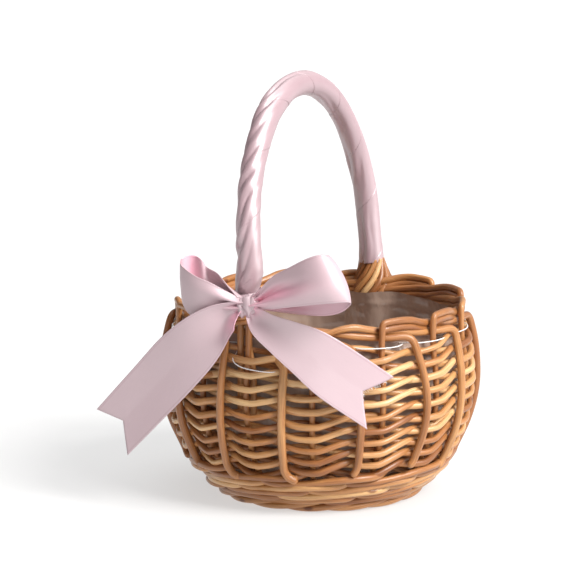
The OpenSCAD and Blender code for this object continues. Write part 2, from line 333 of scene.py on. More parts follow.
class Graph:
    """A material's node tree, written shortly."""

    def __init__(self, name):
        self.material = bpy.data.materials.new(name)
        self.material.use_nodes = True
        self.tree = self.material.node_tree
        self.tree.nodes.clear()
        self.out = self.node("ShaderNodeOutputMaterial")
        self.shader = self.node("ShaderNodeBsdfPrincipled")
        self.join(self.shader, "BSDF", self.out, "Surface")

    def node(self, kind, inputs=None, **settings):
        made = self.tree.nodes.new(kind)
        for key, value in settings.items():
            setattr(made, key, value)
        for key, value in (inputs or {}).items():
            made.inputs[key].default_value = value
        return made

    def join(self, a, output, b, entry):
        self.tree.links.new(a.outputs[output], b.inputs[entry])
        return b

    def attribute(self, name):
        return self.node("ShaderNodeAttribute", attribute_name=name)

    def maths(self, kind, *values):
        """A Math node. Each value is a number or (node, output)."""
        made = self.node("ShaderNodeMath", operation=kind)
        for i, x in enumerate(values):
            if isinstance(x, tuple):
                self.join(*x, made, i)
            else:
                made.inputs[i].default_value = x
        return made

    def stretch(self, source, output, factors):
        made = self.node("ShaderNodeVectorMath", operation="MULTIPLY")
        self.join(source, output, made, 0)
        made.inputs[1].default_value = factors
        return made

    def noise(self, vector, scale, detail=3.0, roughness=0.55):
        made = self.node("ShaderNodeTexNoise", {"Scale": scale, "Detail": detail, "Roughness": roughness})
        self.join(vector, "Vector", made, "Vector")
        return made

    def ramp(self, source, output, stops):
        made = self.node("ShaderNodeValToRGB")
        elements = made.color_ramp.elements
        while len(elements) < len(stops):
            elements.new(0.5)
        for element, (at, colour) in zip(elements, stops):
            element.position = at
            element.color = (*colour, 1.0)
        return self.join(source, output, made, "Fac")

    def mix(self, kind, factor, a, b):
        """Colours mixed. factor, a and b are values or (node, output)."""
        made = self.node("ShaderNodeMix", data_type="RGBA", blend_type=kind)
        for entry, x in ((0, factor), (6, a), (7, b)):
            if isinstance(x, tuple) and not isinstance(x[0], (int, float)):
                self.join(*x, made, entry)
            else:
                made.inputs[entry].default_value = x if isinstance(x, (int, float)) else (*x, 1.0)
        return made

    def bump(self, source, output, strength, distance):
        """Fine relief on the surface. distance is in metres."""
        made = self.node("ShaderNodeBump", {"Strength": strength, "Distance": distance})
        self.join(source, output, made, "Height")
        self.join(made, "Normal", self.shader, "Normal")

    def set(self, **values):
        for key, value in values.items():
            self.shader.inputs[key.replace("_", " ")].default_value = value


def willow_material(name, stops, streaks):
    """Peeled, varnished willow: long grain, a colour of its own for each rod, darker patches and buds."""
    g = Graph(name)
    grain = g.attribute("grain")
    tone = g.attribute("tone")
    cut = g.attribute("cut")
    long_way = g.stretch(grain, "Vector", (0.25, 0.25, 0.022))
    patches = g.noise(long_way, 1.0, 2.0)
    fibres = g.noise(g.stretch(grain, "Vector", (2.4, 2.4, 0.07)), 1.0, 4.0, 0.65)
    fine = g.noise(g.stretch(grain, "Vector", (7.0, 7.0, 0.3)), 1.0, 2.0)
    patchy = g.maths("MULTIPLY_ADD", (patches, "Fac"), 1.1, -0.55)
    shifted = g.maths("ADD", (tone, "Fac"), (patchy, 0))
    colour = g.ramp(shifted, 0, stops)
    dark = g.ramp(fibres, "Fac", [(0.30, streaks), (0.52, (1.0, 1.0, 1.0)), (0.75, (1.08, 1.07, 1.05))])
    streaked = g.mix("MULTIPLY", 1.0, (colour, "Color"), (dark, "Color"))
    buds = g.node("ShaderNodeTexVoronoi", {"Scale": 0.052})
    g.join(g.stretch(grain, "Vector", (1.0, 1.0, 0.55)), "Vector", buds, "Vector")
    bud = g.ramp(buds, "Distance", [(0.05, (0.30, 0.16, 0.09)), (0.10, (1.0, 1.0, 1.0))])
    marked = g.mix("MULTIPLY", 0.85, (streaked, 2), (bud, "Color"))
    ended = g.mix("MIX", (cut, "Fac"), (marked, 2), (0.66, 0.47, 0.27))
    g.join(ended, 2, g.shader, "Base Color")
    g.join(g.maths("MULTIPLY_ADD", (fibres, "Fac"), 0.25, 0.24), 0, g.shader, "Roughness")
    finer = g.maths("MULTIPLY", (fine, "Fac"), 0.3)
    g.bump(g.maths("MULTIPLY_ADD", (fibres, "Fac"), 0.7, (finer, 0)), 0, 0.45, 0.00035)
    g.set(Specular_IOR_Level=0.5, Coat_Weight=0.22, Coat_Roughness=0.22)
    return g.material


# Painted light: the satin's fuller pink where light goes through two layers of it and bounces between them,
# put into folds and near the knot
PAINTED_FOLD_LIGHT_PINK = (0.92, 0.42, 0.54)


def satin_material(name, pale, deep, roughness, edge, ior):
    """Woven satin ribbon: long floats with a strong soft gloss, fine cross ribs and a selvedge line.

    The colour wanders between pale and deep, and edge tints the line along each selvedge.
    """
    g = Graph(name)
    flat = g.node("ShaderNodeUVMap", uv_map="flat")
    cloud = g.noise(g.stretch(flat, "UV", (40.0, 22.0, 1.0)), 1.0, 3.0)
    threads = g.noise(g.stretch(flat, "UV", (5200.0, 260.0, 1.0)), 1.0, 2.0)
    slubs = g.noise(g.stretch(flat, "UV", (60.0, 900.0, 1.0)), 1.0, 3.0)
    colour = g.mix("MIX", (cloud, "Fac"), pale, deep)
    # Painted light: where the deep attribute is set, the colour turns to the fuller pink of light passing
    # through and bouncing between layers of satin
    fuller = g.mix("MIX", (g.attribute("deep"), "Fac"), (colour, 2), PAINTED_FOLD_LIGHT_PINK)
    thread_shade = g.ramp(threads, "Fac", [(0.30, (0.93, 0.93, 0.94)), (0.70, (1.0, 1.0, 1.0))])
    woven = g.mix("MULTIPLY", 0.8, (fuller, 2), (thread_shade, "Color"))
    across = g.join(flat, "UV", g.node("ShaderNodeSeparateXYZ"), 0)
    middle = RIBBON_W * MM / 2
    off_middle = g.maths("ABSOLUTE", (g.maths("SUBTRACT", (across, "X"), middle), 0))
    from_line = g.maths("ABSOLUTE", (g.maths("SUBTRACT", (off_middle, 0), middle - 0.0013), 0))
    from_line_mm = g.maths("MULTIPLY", (from_line, 0), 1000.0)
    line = g.ramp(from_line_mm, 0, [(0.12, edge), (0.42, (1.0, 1.0, 1.0))])
    lined = g.mix("MULTIPLY", 1.0, (woven, 2), (line, "Color"))
    g.join(lined, 2, g.shader, "Base Color")
    g.join(g.maths("MULTIPLY_ADD", (slubs, "Fac"), 0.12, roughness - 0.06), 0, g.shader, "Roughness")
    ribs = g.maths("MULTIPLY", (slubs, "Fac"), 0.4)
    g.bump(g.maths("MULTIPLY_ADD", (threads, "Fac"), 0.6, (ribs, 0)), 0, 0.30, 0.00006)
    g.set(Specular_IOR_Level=1.0, IOR=ior, Anisotropic=0.65, Sheen_Weight=0.10, Sheen_Roughness=0.35)
    g.shader.inputs["Sheen Tint"].default_value = (1.0, 0.90, 0.93, 1.0)
    tangent = g.node("ShaderNodeTangent", direction_type="UV_MAP", uv_map="flat")
    g.join(tangent, "Tangent", g.shader, "Tangent")
    return g.material


def film_material(name):
    """Clear plastic film, drawn almost opaque: brown for the shaded wicker seen through it, which is painted
    shade, and pale grey where it is creased, a painted highlight.
    """
    g = Graph(name)
    where = g.node("ShaderNodeTexCoord")
    creases = g.noise(g.stretch(where, "Object", (70.0, 70.0, 24.0)), 1.0, 4.0, 0.6)
    fine = g.noise(g.stretch(where, "Object", (260.0, 260.0, 120.0)), 1.0, 3.0)
    # Painted shade and highlight: brown for the shaded wicker behind the film, pale grey on the creases for
    # their highlight
    stops = [(0.30, (0.33, 0.225, 0.175)), (0.64, (0.42, 0.31, 0.25)), (0.88, (0.64, 0.60, 0.58))]
    colour = g.ramp(creases, "Fac", stops)
    g.join(colour, "Color", g.shader, "Base Color")
    thin = g.ramp(creases, "Fac", [(0.30, (0.955, 0.955, 0.955)), (0.75, (0.985, 0.985, 0.985))])
    g.join(thin, "Color", g.shader, "Alpha")
    g.bump(g.maths("MULTIPLY_ADD", (fine, "Fac"), 0.3, (creases, "Fac")), 0, 0.6, 0.0012)
    g.set(Roughness=0.22, Specular_IOR_Level=0.6, IOR=1.46)
    return g.material


def thread_material(name):
    """White twisted sewing thread."""
    g = Graph(name)
    grain = g.attribute("grain")
    twist = g.noise(g.stretch(grain, "Vector", (3.0, 3.0, 2.2)), 1.0, 2.0)
    colour = g.ramp(twist, "Fac", [(0.30, (0.70, 0.69, 0.68)), (0.60, (0.92, 0.91, 0.90))])
    g.join(colour, "Color", g.shader, "Base Color")
    g.bump(twist, "Fac", 0.5, 0.0001)
    g.set(Roughness=0.55, Sheen_Weight=0.3)
    return g.material


def floor_material(name):
    """Matt white studio paper."""
    g = Graph(name)
    where = g.node("ShaderNodeTexCoord")
    fibre = g.noise(g.stretch(where, "Object", (9.0, 9.0, 9.0)), 1.0, 3.0)
    colour = g.ramp(fibre, "Fac", [(0.30, (0.34, 0.34, 0.34)), (0.70, (0.36, 0.36, 0.36))])
    g.join(colour, "Color", g.shader, "Base Color")
    g.set(Roughness=0.9, Specular_IOR_Level=0.1, Emission_Strength=0.56)
    g.shader.inputs["Emission Color"].default_value = (1.0, 1.0, 1.0, 1.0)
    return g.material


WILLOW = willow_material(
    "peeled_willow",
    [
        (0.00, (0.27, 0.098, 0.030)),
        (0.35, (0.45, 0.195, 0.066)),
        (0.65, (0.60, 0.315, 0.125)),
        (1.00, (0.76, 0.50, 0.25)),
    ],
    (0.66, 0.54, 0.44),
)
WILLOW_THICK = willow_material(
    "peeled_thick_willow",
    [
        (0.0, (0.26, 0.092, 0.028)),
        (0.4, (0.43, 0.185, 0.062)),
        (0.7, (0.56, 0.285, 0.110)),
        (1.0, (0.72, 0.44, 0.20)),
    ],
    (0.62, 0.50, 0.40),
)
# The wrapping is the same satin as the bow but drawn darker: painted shade for its shaded side and folds
SATIN_WRAP_PAINTED_SHADE = satin_material(
    "satin_wrapping", (0.45, 0.30, 0.33), (0.36, 0.225, 0.25),
    roughness=0.45, edge=(0.98, 0.97, 0.975), ior=1.95,
)
SATIN_BOW = satin_material(
    "satin_bow", (0.60, 0.435, 0.47), (0.53, 0.37, 0.405),
    roughness=0.47, edge=(0.88, 0.80, 0.83), ior=1.75,
)
FILM_WITH_PAINTED_SHADE = film_material("clear_film")
THREAD = thread_material("white_thread")


# ---------------------------------------------------------------- the woven wall

def swing(n, row):
    """1 where a weaver of this row is in front of a stake, -1 where it is behind one, straight between."""
    nearest = round(n)
    off = n - nearest
    if nearest % STAKES in HANDLE_PLACES:
        off *= smooth(abs(off) / 0.5)
    straight = 0.975
    wave = math.cos(math.pi * (nearest + off + row))
    return math.asin(straight * wave) / math.asin(straight)


def weaver_point(row, n, dive):
    """A point of a weaver: in front of one stake, behind the next, slanting past each rib between them."""
    s = S_LOW + row * ROW_STEP
    angle = place_angle(n) % 360
    a = math.radians(angle)
    swung = swing(n, row)
    own = ring_noise(a, 3.2, row * 5.3 + 40)
    out = WEAVE_MEAN + WEAVE_SWING * swung + 0.45 * own - dive
    near_leg = bell(from_handle(n), 0.34) * smooth((wall(s)[1] - 52) / 16)
    if swung < 0:
        out += 6.0 * near_leg * swung
    up = 0.9 * ring_noise(a, 2.1, s * 0.022) + 0.42 * own
    front = math.pi * (n + row)
    to_right = smooth((angle - 8) / 12) if angle < 180 else 0.25 * smooth((300 - angle) / 60)
    tilt = 1.1 + 1.5 * to_right + 0.7 * wobble(17, n * 0.4, row * 0.7)
    dip = 3.0 - 1.3 * to_right + 0.8 * wobble(18, n * 0.4, row * 0.6)
    off = abs(n - round(n))
    if math.cos(front) > 0:
        up -= dip * (1 - 2 * math.sqrt(off * off + 0.0004))
    up += tilt * math.sin(front)
    return on_wall(s, n, out, up)


def weave():
    """20 rows of weavers. Each row is two rods, whose ends pass each other behind the weave."""
    rng = random.Random(11)
    overlap, per_place = 0.25, 22
    for row in range(ROWS):
        rods = Rods()
        start = rng.choice([4.5, 6.0, 8.5, 10.0, 11.5, 5.5]) + rng.uniform(-0.2, 0.2)
        halves = [(start, start + STAKES * 0.52), (start + STAKES * 0.52, start + STAKES)]
        for a, b in halves:
            n, points = a - overlap, []
            while n <= b + overlap:
                dive = WEAVER_D * (1 - smooth((n - a + overlap) / 0.55))
                points.append(weaver_point(row, n, dive))
                n += 1 / per_place
            thick = rng.uniform(0.94, 1.16)
            tip = rng.uniform(0.86, 0.97)
            rods.add(
                points,
                lambda d, total, thick=thick, tip=tip: WEAVER_D / 2 * thick * (1 + (tip - 1) * d / total),
                tone=own_tone(rng, 0.52, 0.25),
                seed=rng.uniform(0, 50),
            )
        rods.make(f"willow_weaver_{row + 1:02d}", WILLOW, "willow", f"weaver_{row + 1:02d}")


# ---------------------------------------------------------------- stakes, border and ribs

def behind(n):
    """Radius at which a border rod passes behind a stake, or behind the handle's foot."""
    return BEHIND_LEG_R if n % STAKES in HANDLE_PLACES else BEHIND_R


# How the rods that show differ, by stake: how far the rib's lower end leans and its middle bows to the
# right, in places, how much higher it ends, and how much lower the stake bends over, in millimetres
LOW_LEANS = {10: -0.10, 11: -0.14, 12: -0.09, 13: 0.15, 0: 0.16}
MID_BOWS = {13: 0.09, 0: 0.14}
END_RAISES = {12: 1.5, 13: 6.0, 0: 8.0}
LOW_BENDS = {1: 7.0, 11: 4.5}


def stake_route(n, rng):
    """Up between the weavers, over to the right, behind the next two stakes, then out and down as a rib."""
    place_n = stake_place(n)
    angle = place_angle(place_n)
    lean = rng.uniform(-0.6, 0.6)
    route = [polar(46, angle, 10.7), polar(60, angle, 10.9)]
    s = wall_s(15.0)
    while s < wall_s(103.0):
        route.append(on_wall(s, place_n, WEAVE_MEAN))
        s += 6.0
    top = BORDER_Z + rng.uniform(-0.5, 0.7)
    lower = LOW_BENDS.get(n, 0.0)
    route += [
        polar(STAKE_TOP_R, angle + lean * 0.3, 106.0 - lower * 0.6),
        polar(STAKE_TOP_R, angle + lean * 0.6, 112.0 - lower),
        polar(STAKE_TOP_R, angle + lean, top - 0.4 - lower),
        polar(STAKE_TOP_R - 0.4, place_angle(place_n + 0.10), top + 0.2 - lower * 0.9),
        polar(STAKE_TOP_R - 1.4, place_angle(n + 0.5), top + rng.uniform(-0.4, 0.7)),
    ]
    first = top - BORDER_DROP + rng.uniform(-0.3, 0.3)
    second = first - BORDER_DROP + 0.3
    to_leg = (n + 2) % STAKES in HANDLE_PLACES
    out_z = 96.0 if to_leg else second - (4.0 if n == STAKES - 1 else 1.0)
    end_s = S_LOW + 1.2 + END_RAISES.get(n, 0.0)
    route += [
        polar(behind(n + 1) + 0.5, place_angle(n + 0.86), first + 0.9),
        polar(behind(n + 1), place_angle(n + 1.0), first + 0.2),
        polar(behind(n + 1) + 0.6, place_angle(n + 1.15), first - 0.2),
        polar((behind(n + 1) + behind(n + 2)) / 2 + 1.2, place_angle(n + 1.5), (first + second) / 2),
        polar(behind(n + 2) + 0.4, place_angle(n + 1.86), second + 0.5),
        polar(behind(n + 2), place_angle(n + 2.0), second),
        polar(behind(n + 2) + 2.6, place_angle(n + 2.17), second - (4.0 if to_leg else 0.4)),
    ]
    rib_n = n + 2.5
    bow_out = rng.uniform(-0.012, 0.012)
    to_right = smooth(((place_angle(rib_n) + 180) % 360 - 195) / 20)
    lean_low = LOW_LEANS.get(n, 0.05) + rng.uniform(-0.03, 0.03)
    curl = 0.13 - 0.19 * to_right
    corner_r = wall(wall_s(out_z))[0] + RIB_OFF
    route.append(polar(corner_r - 1.6, place_angle(rib_n - 0.09), out_z + 1.2))
    s = wall_s(out_z) - 1.5
    while s > end_s + 4:
        t = (s - end_s) / (wall_s(out_z) - end_s)
        sway = (bow_out * 4 + MID_BOWS.get(n, 0.0)) * math.sin(math.pi * t) + lean_low * (1 - t) ** 2
        route.append(on_wall(s, rib_n + sway, RIB_OFF + 0.35 * math.sin(math.pi * t)))
        s -= 6.0
    route += [
        on_wall(end_s + 3.0, rib_n + lean_low, RIB_OFF + 0.3),
        on_wall(end_s - 1.0, rib_n + lean_low + curl * 0.2, RIB_OFF + 0.7),
        on_wall(end_s - 3.8, rib_n + lean_low + curl * 0.8, RIB_OFF + 1.6),
        on_wall(end_s - 5.4, rib_n + lean_low + curl * 1.7, RIB_OFF + 1.5),
    ]
    return route


def border_part(points):
    """The part of a stake that lies in the border, from its bend at the top to where it comes out again."""
    highest = max(point.z for point in points)
    start = next(i for i, point in enumerate(points) if point.z > highest - 3.0)
    end = next(i for i in range(start + 3, len(points)) if points[i].z < 110.0)
    return points[start:end]


def beside(points):
    """A second rod that lies in and under a border rod."""
    return [Vector((q.x * 0.992, q.y * 0.992, q.z - 4.0)) for q in border_part(points)]


def stake_radius(d, total, low, high):
    """Thin between the weavers, thick as a rib, round at the rib's lower end."""
    r = low + (high - low) * smooth((d / total - 0.30) / 0.3)
    into_end = max(0.0, d - (total - r)) / r
    return r * math.sqrt(max(1 - into_end * into_end, 0.12))


def stakes():
    """The 14 stake rods, and second rods beside them where the border is thick, away from the bow."""
    rng = random.Random(23)
    for n in range(STAKES):
        rods = Rods()
        points = resample(chaikin(stake_route(n, rng)), 1.5)
        points = points[:-4] + resample(points[-4:], 0.35)
        low = rng.uniform(1.65, 1.85)
        high = rng.uniform(2.2, 2.5)
        rods.add(
            points,
            lambda d, total, low=low, high=high: stake_radius(d, total, low, high),
            sides=16,
            tone=own_tone(rng, 0.40, 0.13),
            seed=rng.uniform(0, 50),
        )
        if 2 <= n <= 11:
            rods.add(beside(points), BORDER_ROD_R, tone=rng.uniform(0.1, 0.45), seed=rng.uniform(0, 50))
        rods.make(f"willow_stake_{n + 1:02d}", WILLOW_THICK, "willow", f"stake_rod_{n + 1:02d}")


# ---------------------------------------------------------------- bottom waling, foot and base

def wales():
    """4 rows of waling. Each has two strands, which mostly lie outside and dip in once in three stakes."""
    rng = random.Random(37)
    wale_rad = LOW_RAD + WALE_OFF
    first = math.asin((BELLY_Z - WEAVE_LOW_Z) / LOW_RAD) + (WEAVER_D + WALE_D) / 2 / wale_rad
    for row in range(WALE_ROWS):
        s = -LOW_RAD * (first + row * WALE_D / wale_rad)
        rods = Rods()
        start = rng.uniform(4.0, 10.0)
        for strand in range(2):
            begin = start + strand * 1.5
            end = begin + STAKES + 0.6
            n, points = begin, []
            while n <= end:
                u = (n / 3 + strand / 2 + row * 0.21 + 0.05 * wobble(row, n * 0.5)) % 1.0
                inside = bell(min(u, 1 - u), 0.115)
                across = math.sin(2 * math.pi * u)
                dive = 5.0 * (1 - smooth((n - begin) / 0.7)) + 5.0 * smooth((n - end + 0.7) / 0.7)
                own = ring_noise(math.radians(place_angle(n)), 2.6, row * 3.1 + strand)
                out = WEAVE_MEAN + 4.9 * (1 - 1.75 * inside) - 0.9 * across - dive + 1.1 * own
                points.append(on_wall(s, n, out, 1.6 * own - 3.4 * across))
                n += 1 / 16
            thick = rng.uniform(0.92, 1.10)
            rods.add(
                points,
                WALE_STRAND_R * thick,
                sides=14,
                tone=own_tone(rng, 0.50, 0.17),
                seed=rng.uniform(0, 50),
            )
        rods.make(f"willow_wale_{row + 1}", WILLOW_THICK, "willow_thick", f"wale_{row + 1:02d}")


def foot():
    """The rope-like foot: three strands twisted round each other."""
    rng = random.Random(41)
    twists, steps = 5.3, 360
    rods = Rods()
    for strand in range(3):
        points = []
        for i in range(steps + 1):
            turn = 2 * math.pi * (twists * i / steps + strand / 3)
            r = FOOT_R + 1.9 * math.cos(turn)
            z = 4.0 + 1.75 * math.sin(turn)
            points.append(polar(r, i * 1.012 + 140, z))
        rods.add(points, FOOT_STRAND_R, sides=14, tone=rng.uniform(0.3, 0.7), seed=rng.uniform(0, 50))
    rods.make("willow_foot", WILLOW_THICK, "willow_thick", "foot_ring")


def base():
    """The base disc: three sticks pushed through three split ones, with 11 rings of thin rod under them."""
    rng = random.Random(43)
    sticks_z, steps = 9.9, 60
    for name, node, across, gap, r in (
        ("willow_split_sticks", "base_sticks_split", False, 6.5, SPLIT_STICK_R),
        ("willow_through_sticks", "base_sticks_through", True, 4.7, THROUGH_STICK_R),
    ):
        rods = Rods()
        for k in (-1, 0, 1):
            points = []
            for i in range(steps + 1):
                t = -STICK_HALF + 2 * STICK_HALF * i / steps
                off = k * gap + 0.5 * wobble(k + 3, t * 0.03)
                points.append(Vector((off, t, sticks_z)) if across else Vector((t, off, sticks_z)))
            rods.add(points, r, tone=rng.uniform(0.3, 0.6), seed=rng.uniform(0, 50))
        rods.make(name, WILLOW_THICK, "willow_thick", node)
    rods = Rods()
    for row in range(11):
        r = 14 + 4 * row
        points = []
        for i in range(181):
            a = 2 * i + row * 47
            wave = math.cos(math.radians(a * 6) + row * math.pi)
            points.append(polar(r + 0.4 * wobble(row, a * 0.02), a, 5.6 + 0.55 * wave))
        rods.add(points, BASE_WEAVER_R, sides=10, tone=own_tone(rng, 0.5, 0.15), seed=rng.uniform(0, 50))
    rods.make("willow_base_weave", WILLOW, "willow_thick", "base_weave")


# ---------------------------------------------------------------- the handle

# The hoop's top is a half oval of two side arcs and a crown arc, 45 degrees each side, as in the CAD part
HALF_COS = math.cos(math.pi / 4)
ARCH_H = HOOP_TOP_Z - HOOP_STRAIGHT_Z
SIDE_RAD = (ARCH_H - HOOP_HALF * (1 - HALF_COS) / HALF_COS) / (HALF_COS - (1 - HALF_COS) ** 2 / HALF_COS)
CROWN_RAD = (HOOP_HALF - (1 - HALF_COS) * SIDE_RAD) / HALF_COS
CROWN_Z = HOOP_STRAIGHT_Z + (SIDE_RAD - CROWN_RAD) * HALF_COS
LEG_LEN = HOOP_STRAIGHT_Z - WRAP_LOW_Z
SIDE_LEN = SIDE_RAD * math.pi / 4
CROWN_LEN = CROWN_RAD * math.pi / 2
HOOP_LEN = 2 * (LEG_LEN + SIDE_LEN) + CROWN_LEN


def leaned(x, y, z):
    """A point of the upright hoop, after the whole hoop leans. Its near foot goes straight down."""
    z -= LEAN_Z
    c, s = math.cos(HOOP_LEAN), math.sin(HOOP_LEAN)
    made = Vector((LEAN_X + x * c - z * s, y, LEAN_Z + x * s + z * c))
    if y < 0:
        made.x += (NEAR_FOOT_X - (LEAN_X - z * s)) * (1 - smooth((made.z - 126) / 30))
    return made


def hoop(s):
    """The upright hoop at a distance s from the wrapping's near end: centre y, z and outward y, z."""
    if s < LEG_LEN:
        return -HOOP_HALF, WRAP_LOW_Z + s, -1.0, 0.0
    s -= LEG_LEN
    if s < SIDE_LEN:
        turn, cy, cz, rad = s / SIDE_RAD, SIDE_RAD - HOOP_HALF, HOOP_STRAIGHT_Z, SIDE_RAD
    elif s < SIDE_LEN + CROWN_LEN:
        turn, cy, cz, rad = math.pi / 4 + (s - SIDE_LEN) / CROWN_RAD, 0.0, CROWN_Z, CROWN_RAD
    elif s < 2 * SIDE_LEN + CROWN_LEN:
        turn = 3 * math.pi / 4 + (s - SIDE_LEN - CROWN_LEN) / SIDE_RAD
        cy, cz, rad = HOOP_HALF - SIDE_RAD, HOOP_STRAIGHT_Z, SIDE_RAD
    else:
        s -= 2 * SIDE_LEN + CROWN_LEN
        return HOOP_HALF, HOOP_STRAIGHT_Z - s, 1.0, 0.0
    return cy - rad * math.cos(turn), cz + rad * math.sin(turn), -math.cos(turn), math.sin(turn)


def round_hoop(s, turn, r):
    """A point round the handle: turn 0 is on the hoop's outer side and grows towards +X."""
    y, z, oy, oz = hoop(min(max(s, 0.0), HOOP_LEN))
    c = math.cos(turn) * r
    return leaned(math.sin(turn) * r, y + oy * c, z + oz * c)


def fold_angle(s):
    """How steeply the folds climb the handle: slanted on the near leg, almost along it further on."""
    return math.radians(61 + 21 * smooth((s - 90) / 70))


def fold_table():
    """Distance along the handle, counted across the folds, at each whole millimetre."""
    made, total = [0.0], 0.0
    for i in range(int(HOOP_LEN) + 60):
        total += math.cos(fold_angle(i))
        made.append(total)
    return made


CLIMBED = fold_table()
FOLD_PERIOD = 7.4
SMALL_FOLD_PERIOD = 2.9


def fold_height(s, facing):
    """Height of the diagonal folds. They are deep on the shaded side, and shallow where facing is near 0."""
    at = min(max(s, 0.0), HOOP_LEN)
    climbed = CLIMBED[int(at)] + (at % 1.0) * math.cos(fold_angle(at))
    across_folds = climbed - facing * WRAP_R * math.sin(fold_angle(at))
    across_folds += 5.0 * wobble(6, s * 0.035, facing * 0.5)
    puff = math.sqrt(math.sin(math.pi * across_folds / FOLD_PERIOD) ** 2 + 0.012) - 0.64
    small = math.sin(2 * math.pi * (across_folds + 1.1 * wobble(4, s * 0.08, facing)) / SMALL_FOLD_PERIOD)
    depth = 0.75 + 0.8 * wobble(7, s * 0.035, facing * 0.5) - 0.45 * smooth((s - 170) / 60)
    seam = smooth((math.pi - abs(facing)) / 0.6)
    shaded = smooth((abs(facing) - 0.70) / 0.8)
    return seam * (0.14 + 0.86 * shaded) * (2.1 * depth * puff + 0.07 * small)


def wrap_radius(s, w, along, turn):
    """How far the satin stands from the handle's middle line, w across the ribbon and along it."""
    foot_near = 1 - smooth(s / 34)
    foot_far = 1 - smooth((HOOP_LEN - s) / 20)
    lying = 0.2 + 0.12 * bell(w, 3.5)
    facing = (turn + math.pi / 2) % (2 * math.pi) - math.pi
    loose = 1.3 * foot_near + 0.45 * foot_far - 2.2 * (1 - smooth((s - 5) / 14))
    ruck = foot_near * wobble(12, w * 0.25, along * 0.09)
    slimmer = 0.55 * bell(s - 72, 28) + 0.3 * bell(s - 230, 40)
    return WRAP_R + lying + fold_height(s, facing) + loose + ruck - slimmer


def wrapping():
    """One long satin ribbon wound up the handle, each turn lying over the edge of the one before."""
    per_turn, first_turn = 39.0, 0.9
    girth = 2 * math.pi * WRAP_R
    rise = math.atan2(per_turn, girth)
    ca, sa = math.cos(rise), math.sin(rise)
    lead = RIBBON_W * ca
    length = (HOOP_LEN + lead) / sa
    steps, across = int(length / 0.75), 56
    rows, beyond = [], []
    for i in range(steps + 1):
        along = length * i / steps
        row, marks = [], []
        for k in range(across + 1):
            w = k / across * RIBBON_W
            s = along * sa + w * ca - lead
            turn = (along * ca - w * sa) / WRAP_R + first_turn
            row.append(round_hoop(s, turn, wrap_radius(s, w, along, turn)))
            marks.append(s < 0 or s > HOOP_LEN)
        rows.append(row)
        beyond.append(marks)

    def drop(i, k):
        return all((beyond[i][k], beyond[i][k + 1], beyond[i + 1][k], beyond[i + 1][k + 1]))

    piece = grid_piece(
        "satin_wrapping", rows, SATIN_WRAP_PAINTED_SHADE, "satin_wrap", ("handle_wrap",), thick=WRAP_THICK, drop=drop,
        uv=lambda i, k: (RIBBON_W * MM * k / across, length * MM * i / steps),
    )


def handle_rods():
    """The rod under the ribbon, and its two feet, each of two thinner rods that go down into the weave."""
    rng = random.Random(53)
    rods = Rods()
    count = 260
    points = []
    for i in range(count + 1):
        y, z, _, _ = hoop(HOOP_LEN * i / count)
        points.append(leaned(0, y, z))
    rods.add(points, lambda d, total: HANDLE_ROD_R - 3.0 * bell(d, 20), sides=20, tone=0.4, seed=3)
    for side in (-1, 1):
        for across in (-1, 1):
            route = []
            for z in range(62, 130, 3):
                spread = 2.3 + 0.25 * wobble(across + 5, z * 0.05)
                if side < 0:
                    spread += 3.2 * (1 - smooth((z - 84) / 22)) if across > 0 else 0.6
                narrow = 1 - 0.35 * smooth((z - 118) / 10)
                route.append(leaned(across * spread * narrow, side * HOOP_HALF, z))
            rods.add(resample(route, 1.5), FOOT_ROD_R, tone=rng.uniform(0.35, 0.6), seed=rng.uniform(0, 50))
    rods.make("willow_handle_rods", WILLOW_THICK, "willow_thick", "handle_core")


def collars():
    """Willow round each foot under the ribbon: a coil on the near one, a twisted cone on the far one."""
    rng = random.Random(59)
    rods = Rods()
    points = []
    turns, per_turn = 4, 24
    for i in range(turns * per_turn + 1):
        t = i / (turns * per_turn)
        turn = 2 * math.pi * turns * t
        radius = 6.2 - 0.6 * t + 0.25 * wobble(2, turn * 0.3)
        z = 116.6 + 10.8 * t + 0.3 * wobble(7, turn * 0.4)
        points.append(leaned(radius * math.cos(turn), -HOOP_HALF + radius * math.sin(turn), z))
    rods.add(points, COIL_R, sides=10, tone=0.55, seed=5)
    rods.make("willow_collar_near", WILLOW, "willow", "handle_collar_near")
    rods = Rods()
    count, pale_one = 14, 9
    for rod in range(count):
        points = []
        for i in range(25):
            t = i / 24
            turn = 2 * math.pi * rod / count + 1.9 * t + 0.15 * wobble(rod, t * 2)
            radius = 6.9 + 6.2 * smooth(1.25 * (1 - t)) - 2.5 * smooth((0.3 - t) / 0.3)
            radius += 0.5 * wobble(rod + 20, t * 3)
            z = 102.0 + 27.0 * t
            points.append(leaned(radius * math.cos(turn), HOOP_HALF + 0.8 * radius * math.sin(turn), z))
        tone = 0.8 if rod == pale_one else rng.uniform(0.0, 0.28)
        seed = rng.uniform(0, 50)
        rods.add(points, lambda d, total: 2.2 - 0.4 * d / total, sides=10, tone=tone, seed=seed)
    rods.make("willow_collar_far", WILLOW, "willow", "handle_collar_far")


# ---------------------------------------------------------------- the bow

def ribbon_rows(tops, lows, shape, along, across, notch=0.0):
    """A ribbon's points between two edges. shape(t, v) pushes it out along its normal, in millimetres."""
    rows = []
    for i in range(along + 1):
        row = []
        for k in range(across + 1):
            v = k / across
            t = i / along * (1 - notch * (1 - abs(2 * v - 1)))
            a, b = spline(tops, t), spline(lows, t)
            t0, t1 = max(t - 0.01, 0.0), min(t + 0.01, 1.0)
            forward = spline(tops, t1).lerp(spline(lows, t1), v) - spline(tops, t0).lerp(spline(lows, t0), v)
            normal = (b - a).cross(forward).normalized()
            row.append(a.lerp(b, v) + normal * shape(t, v))
        rows.append(row)
    return rows


